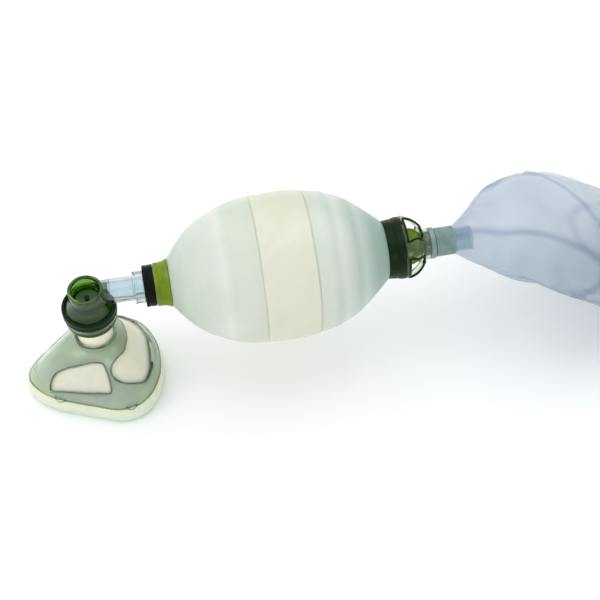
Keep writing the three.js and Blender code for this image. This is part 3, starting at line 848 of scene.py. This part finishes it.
def make_collar():
    """Green collar over the bag's neck, with a rounded lip and two shallow rings."""
    return turned("bag_collar", [
        (19.2, -13), (19.4, -9.6), (19.0, -9.2), (19.0, -8.6), (19.45, -8.2), (19.6, -5),
        (21.6, -0.4), (21.2, 0), (16.1, 0), (16.1, -13),
    ], SHOULDER, "x", corner=0.5)


def make_neck_ring():
    return turned("swivel_ring", [
        (18.1, -22.7), (18.5, -22.2), (18.5, -19.4), (18.1, -19), (18.1, -18.4), (18.5, -18),
        (18.5, -13.9), (18.1, -13.4), (16.1, -13.4), (16.1, -22.7),
    ], SHOULDER, "x", corner=0.25)


# ---- Intake end ---------------------------------------------------------------------------
def make_intake_ring():
    return turned("intake_clamp_ring", [
        (25.7, 192.3), (26.2, 193.8), (26.9, 199.5), (26.5, 200), (26.5, 200.8), (27.1, 201.3),
        (28, 205), (28, 208), (24.9, 208), (24.9, 192.3),
    ], SHOULDER, "x", corner=0.4)


CAGE_OUTER = [
    (208.4, 27.7), (212, 27.8), (216.5, 26.7), (221, 24), (225, 19.8), (228.4, 14),
]
CAGE_WINDOW = [(210.8, -14), (225.4, -7.5), (225.4, 7.5), (210.8, 14)]
CAGE_CUT = (14, 32)             # distances off the axis between which a window is cut
WINDOW_CORNER = 1.4
QUARTERS = (0, 90, 180, 270)
NIPPLE_AT = 230


def rounded_loop(corners, radius, pitch=0.8):
    """A polygon with rounded corners, in steps of about a pitch."""
    loop = [Vector(p) for p in eased(corners, radius)]
    result = []
    for a, b in zip(loop, [*loop[1:], loop[0]]):
        steps = max(round((b - a).length / pitch), 1)
        result += [a.lerp(b, i / steps) for i in range(steps)]
    return result


def cage_window(degrees):
    """A block to cut one window of the cage with."""
    turn = Matrix.Rotation(math.radians(degrees), 3, "X")
    rings = []
    for depth in CAGE_CUT:
        loop = [Vector((p.x, p.y, depth)) for p in rounded_loop(CAGE_WINDOW, WINDOW_CORNER)]
        rings.append([tuple(turn @ p) for p in loop])
    ends = [[tuple(turn @ Vector((217.7, 0, depth)))] for depth in CAGE_CUT]
    return new_object("window", *skin([ends[0], *rings, ends[1]], closed=False), SHOULDER)


def cage_frame(degrees):
    """A rib round one window of the cage."""
    outer_radius = through(CAGE_OUTER)
    turn = Matrix.Rotation(math.radians(degrees), 3, "X")
    path = []
    for p in rounded_loop(CAGE_WINDOW, WINDOW_CORNER):
        radius = float(outer_radius(p.x)) - 0.2
        path.append(turn @ Vector((p.x, p.y, math.sqrt(radius * radius - p.y * p.y))))
    return bead("frame", path, 1.0, SHOULDER)


def make_cage():
    start, end = CAGE_OUTER[0][0], CAGE_OUTER[-1][0]
    outer = [(float(through(CAGE_OUTER)(x)), x) for x in spread(start, end, 16)]
    shell = turned("cage_dome", [
        *outer, (14, 232.9), (11, 232.9), (11, 227.4), (13, 226.4), (17.6, 223.6),
        (21.6, 220), (24.4, 216), (25.5, 212), (25.6, 208.4),
    ], SHOULDER, "x", corner=0.3)
    cutters = [cage_window(degrees) for degrees in QUARTERS]
    nipple_hole = rod(2.75, -20, -5, SHOULDER, "z", (NIPPLE_AT, 0), 24)
    return combined(shell, [*cutters, nipple_hole])


def make_cage_frames():
    """Dark ribs round the windows."""
    return joined("cage_frames", *[cage_frame(degrees) for degrees in QUARTERS])


def make_valve_core():
    """Plate with two relief ports, and a wide funnel that fills the cage."""
    core = turned("valve_core", [
        (25.2, 209.2), (25.2, 211.2), (16.5, 211.2), (16.3, 217.5), (14.6, 222), (10.8, 225.8),
        (8.8, 225.8), (12.6, 221.6), (14.4, 217), (14.5, 209.2),
    ], SHOULDER, "x")
    ports = [rod(2.8, 208, 213, SHOULDER, "x", (0, height), 24) for height in (20.6, -20.6)]
    return combined(core, ports)


def make_nipple():
    barb = [
        (1.2, -30), (2, -30), (3.1, -26), (2.4, -25.6), (2.4, -18), (3.3, -17.6), (3.3, -15.8),
        (2.4, -15.4), (2.4, -11.6), (1.2, -11.6),
    ]
    origin = SHOULDER + Vector((NIPPLE_AT * MM, 0, 0))
    return turned("oxygen_barb", barb, origin, corner=0.2, sides=48)


# ---- Reservoir connector, sleeve and bag --------------------------------------------------
def make_connector():
    return turned("reservoir_plug", [
        (10.6, 226), (10.6, 233.3), (13.6, 233.3), (14, 233.8), (14, 237.5), (13.6, 238),
        (10.9, 238), (10.9, 245.5), (8.2, 245.5), (8.2, 226),
    ], SHOULDER, "x", corner=0.3)


def make_sleeve():
    """Soft sleeve with fine rings, over the plug and the film bag's neck tube."""
    start, end, rings = 238.4, 256, 11
    pitch = (end - start) / rings
    outer = []
    for i in range(rings):
        x = start + i * pitch
        outer += [(12.6, x), (13.05, x + pitch * 0.25), (13.05, x + pitch * 0.7)]
    return turned("ringed_sleeve", [
        *outer, (12.6, end), (11.3, end), (11.3, start),
    ], SHOULDER, "x", corner=0.25)


def make_neck_tube():
    return turned("film_bag_tube", [
        (10.9, 245.9), (10.9, 272), (9.2, 272), (9.2, 245.9),
    ], SHOULDER, "x", corner=0.4)


FILM_START, FILM_LENGTH = 256.4, 324.0
FILM_REST = 255                 # from here on the film bag lies on the table
FILM_OUTLINE = [
    (0, 12.5), (18, 28), (39, 46), (72, 63), (110, 71.5), (170, 76), (250, 75), (300, 69.5),
    (318, 61), (324, 50),
]
FILM_WALL = 0.3
FILM_RIPPLE = 0.0004            # metres of unevenness, so that the flat film can fold
FILM_FRAMES = 30                # steps of the film's simulation
film_width = through(FILM_OUTLINE)


def film_flatness(x):
    """Share of the width that the thickness has: round at the neck, flat at the far seam."""
    opening = 1 - 0.5 * float(smoothstep(x, 0, 60))
    to_seam = max((x - FILM_REST) / (FILM_LENGTH - FILM_REST), 0)
    return opening * math.sqrt(max(1 - to_seam ** 2, 0))


def oval_ring(x, half_width, half_depth, count):
    """Points evenly spaced round an oval, starting at one side seam."""
    turns = np.linspace(0, 2 * math.pi, 721)
    ys, zs = half_width * np.cos(turns), half_depth * np.sin(turns)
    run = np.concatenate(([0], np.cumsum(np.hypot(np.diff(ys), np.diff(zs)))))
    even = np.linspace(0, run[-1], count + 1)[:-1]
    across, up = np.interp(even, run, ys), np.interp(even, run, zs)
    return [(x, float(y), float(z)) for y, z in zip(across, up)]


def film_rings(rows, count, slimness):
    """The pouch: slimness 1 is full, and near 0 is flat, with the same length round it."""
    rings = []
    for x in spread(0, FILM_LENGTH, rows):
        width, flat = float(film_width(x)), film_flatness(x)
        slim = flat * (slimness + (1 - slimness) * (1 - float(smoothstep(x, 0, 45))))
        full = oval_length(width, width * flat)
        width *= full / oval_length(width, width * slim)
        rings.append(oval_ring(x, width, width * slim, count))
    return rings


def oval_length(a, b):
    """The length round an oval, from its two half widths."""
    return math.pi * (3 * (a + b) - math.sqrt((3 * a + b) * (a + 3 * b)))


def inflate(obj, neck_end):
    """Blows up the flat pouch as thin film, held at its neck."""
    random = np.random.default_rng(7)
    held = obj.vertex_groups.new(name="neck")
    for vertex in obj.data.vertices:
        if vertex.co.x <= neck_end:
            held.add([vertex.index], 1.0, "REPLACE")
        else:
            vertex.co.z += random.normal() * FILM_RIPPLE
    cloth = obj.modifiers.new("film", "CLOTH")
    settings = cloth.settings
    settings.quality = 6
    settings.mass = 0.08
    settings.air_damping = 4
    settings.tension_stiffness = 60
    settings.compression_stiffness = 60
    settings.shear_stiffness = 30
    settings.bending_stiffness = 0.02
    settings.use_pressure = True
    settings.uniform_pressure_force = 3.0
    settings.vertex_group_mass = held.name
    settings.effector_weights.gravity = 0
    cloth.collision_settings.use_collision = False
    cloth.collision_settings.use_self_collision = False
    scene = bpy.context.scene
    cloth.point_cache.frame_start = 1
    cloth.point_cache.frame_end = FILM_FRAMES
    for number in range(1, FILM_FRAMES + 1):
        scene.frame_set(number)
    apply_modifiers(obj)
    scene.frame_set(1)


def lay_down(bag, origin):
    """Bends the blown-up bag down onto the table and flattens it where it rests."""
    co = np.array([v.co for v in bag.data.vertices]) / MM
    x = np.clip(co[:, 0] - origin.x / MM, 0, FILM_LENGTH)
    rise = co[:, 2] - origin.z / MM
    stations = np.linspace(0, FILM_LENGTH, 28)
    depth = [-rise[np.abs(x - station) < 12].min() for station in stations]
    depth = np.convolve(np.pad(depth, 2, mode="edge"), np.ones(5) / 5, mode="valid")
    depth = np.interp(x, stations, depth)
    rest = smoothstep(x, 50, FILM_REST)
    sink, softness = 2.5, 1.5   # how far it presses into the table, and how gradually
    height = origin.z / MM * (1 - rest) + depth * rest + rise - sink * rest
    flat = FILM_WALL + 0.4
    eased_up = flat + np.logaddexp(0, (height - flat) / softness) * softness
    height = np.where(height < 12, eased_up, height)
    for vertex, z in zip(bag.data.vertices, height):
        vertex.co.z = z * MM


def make_film_bag():
    """Two layers of thin film, welded round the edge, blown up and laid on the table."""
    rings = film_rings(96, 104, 0.25)
    origin = SHOULDER + Vector((FILM_START * MM, 0, 0))
    bag = new_object("film_bag", *skin([[(0.0, 0.0, 0.0)], *rings], closed=False), origin)
    tidy_mesh(bag, merge=2e-4)
    inflate(bag, origin.x + 0.004)
    lay_down(bag, origin)
    open_neck(bag)
    smooth = bag.modifiers.new("fine", "SUBSURF")
    smooth.levels = smooth.render_levels = 1
    wall = bag.modifiers.new("wall", "SOLIDIFY")
    wall.thickness = FILM_WALL * MM
    wall.offset = -1
    apply_modifiers(bag)
    return shade(bag, 80)


def open_neck(bag):
    """Takes away the disc that shut the neck; only its middle has so many edges."""
    work = bmesh.new()
    work.from_mesh(bag.data)
    hub = [v for v in work.verts if len(v.link_edges) > 20]
    bmesh.ops.delete(work, geom=hub, context="VERTS")
    work.to_mesh(bag.data)
    work.free()


# ---- The whole object ---------------------------------------------------------------------
make_camera()
make_stage()

place(make_mask_body(), "cream_silicone", "mask", "mask_body")
place(make_mask_cover(), "clear_grey_plastic", "mask", "mask_cover")
# the cover's edge beads take the darker copy of the cover plastic, which paints their edge shade
place(make_cover_edges(), "edge_shade_plastic", "mask")

place(make_upper_housing(), "smoked_green_plastic", "valve", "valve_upper_housing")
place(make_lower_housing(), "pale_green_plastic", "valve", "valve_lower_housing")
place(make_lock_ring(), "dark_green_plastic", "valve", "valve_lock_ring")
place(make_grille(), "dark_green_plastic", "valve", "exhalation_grille")
place(make_inlet_tube(), "clear_blue_plastic", "valve", "inlet_tube")

place(make_collar(), "lime_green_plastic", "bag", "neck_collar")
place(make_neck_ring(), "near_black_plastic", "bag", "neck_ring")
place(make_intake_ring(), "dark_green_plastic", "bag", "intake_ring")
place(make_cage(), "clear_green_plastic", "bag", "reservoir_cage")
place(make_cage_frames(), "dark_green_plastic", "bag")
place(make_valve_core(), "lime_green_plastic", "bag", "reservoir_valve_core")
place(make_nipple(), "smoked_green_plastic", "bag", "oxygen_nipple")

place(make_connector(), "grey_green_plastic", "reservoir", "reservoir_connector")
place(make_sleeve(), "grey_green_plastic", "reservoir", "ribbed_sleeve")
place(make_neck_tube(), "clear_blue_plastic", "reservoir", "reservoir_neck_tube")
film_bag = place(make_film_bag(), "clear_film", "reservoir", "reservoir_bag")

squeeze_bag = make_squeeze_bag()
squeeze_bag.data.materials.append(FINISH["milky_silicone"])
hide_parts("squeeze_bag", "squeeze_panel")
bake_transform(squeeze_bag)

for part in frame["record"]["subparts"]:
    node = frame["nodes"][part["node"]]
    if not node.hide_render:
        finish = NODE_FINISH.get(part["node"], part["material_slot"])
        node.data.materials.clear()
        node.data.materials.append(FINISH[finish])
